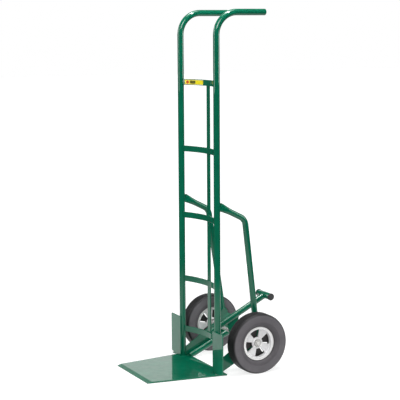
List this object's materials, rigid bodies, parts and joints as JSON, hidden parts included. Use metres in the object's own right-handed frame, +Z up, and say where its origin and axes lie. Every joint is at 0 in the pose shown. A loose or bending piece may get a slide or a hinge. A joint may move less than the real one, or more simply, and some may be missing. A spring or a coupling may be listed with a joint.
{
  "type": "hand truck",
  "caption": "Upright steel hand truck with looped back handles, bowed cross straps, tapered toe plate, wheel guards, foot kick bar and two solid rubber wheels.",
  "frame": {"origin": "on the floor under the toe plate, midway between the rails and in the plane of the rails' centre lines", "axes": "+Z up along the rails, +X to the user's right along the axle, -Y forwards over the toe plate, +Y back towards the wheels and handles"},
  "size_m": [0.4894, 0.6535, 1.51],
  "materials": {
    "green_powder_coat": "glossy green powder coat over steel",
    "label": "glossy yellow vinyl label with a plain disc and bar, no lettering",
    "bare_steel": "zinc plated steel",
    "cast_hub": "die-cast hub with a machined bright ring",
    "tyre_rubber": "dark warm grey solid rubber",
    "black_plastic": "moulded black plastic"
  },
  "bodies": {
    "frame": {"left_rail": "green_powder_coat", "right_rail": "green_powder_coat", "left_handle_plug": "green_powder_coat", "right_handle_plug": "green_powder_coat", "cross_strap_1": "green_powder_coat", "cross_strap_2": "green_powder_coat", "cross_strap_3": "green_powder_coat", "cross_strap_4": "green_powder_coat", "cross_strap_5": "green_powder_coat", "centre_strap": "green_powder_coat", "strap_label": "label", "toe_plate": "green_powder_coat", "left_wheel_guard": "green_powder_coat", "right_wheel_guard": "green_powder_coat", "left_brace": "green_powder_coat", "right_brace": "green_powder_coat", "left_axle_bracket": "green_powder_coat", "right_axle_bracket": "green_powder_coat", "left_strut": "green_powder_coat", "right_strut": "green_powder_coat", "kick_bar": "green_powder_coat", "kick_foot_piece": "green_powder_coat", "kick_foot_caps": "black_plastic", "kick_gusset": "green_powder_coat", "axle": "bare_steel", "axle_spacers": "bare_steel", "inner_washers": "bare_steel", "outer_washers": "bare_steel", "cotter_pins": "bare_steel"},
    "left_wheel": {"left_tyre": "tyre_rubber", "left_hub": "cast_hub", "left_bearing_outer_rings": "bare_steel", "left_bearing_inner_rings": "bare_steel", "left_bearing_balls": "bare_steel", "left_hub_sleeve": "bare_steel"},
    "right_wheel": {"right_tyre": "tyre_rubber", "right_hub": "cast_hub", "right_bearing_outer_rings": "bare_steel", "right_bearing_inner_rings": "bare_steel", "right_bearing_balls": "bare_steel", "right_hub_sleeve": "bare_steel"}
  },
  "joints": [
    {"name": "left_wheel_spin", "type": "hinge", "parent": "frame", "child": "left_wheel", "pos_m": [-0.21295, 0.16, 0.127], "axis": [1, 0, 0], "continuous": true},
    {"name": "right_wheel_spin", "type": "hinge", "parent": "frame", "child": "right_wheel", "pos_m": [0.21295, 0.16, 0.127], "axis": [1, 0, 0], "continuous": true}
  ]
}
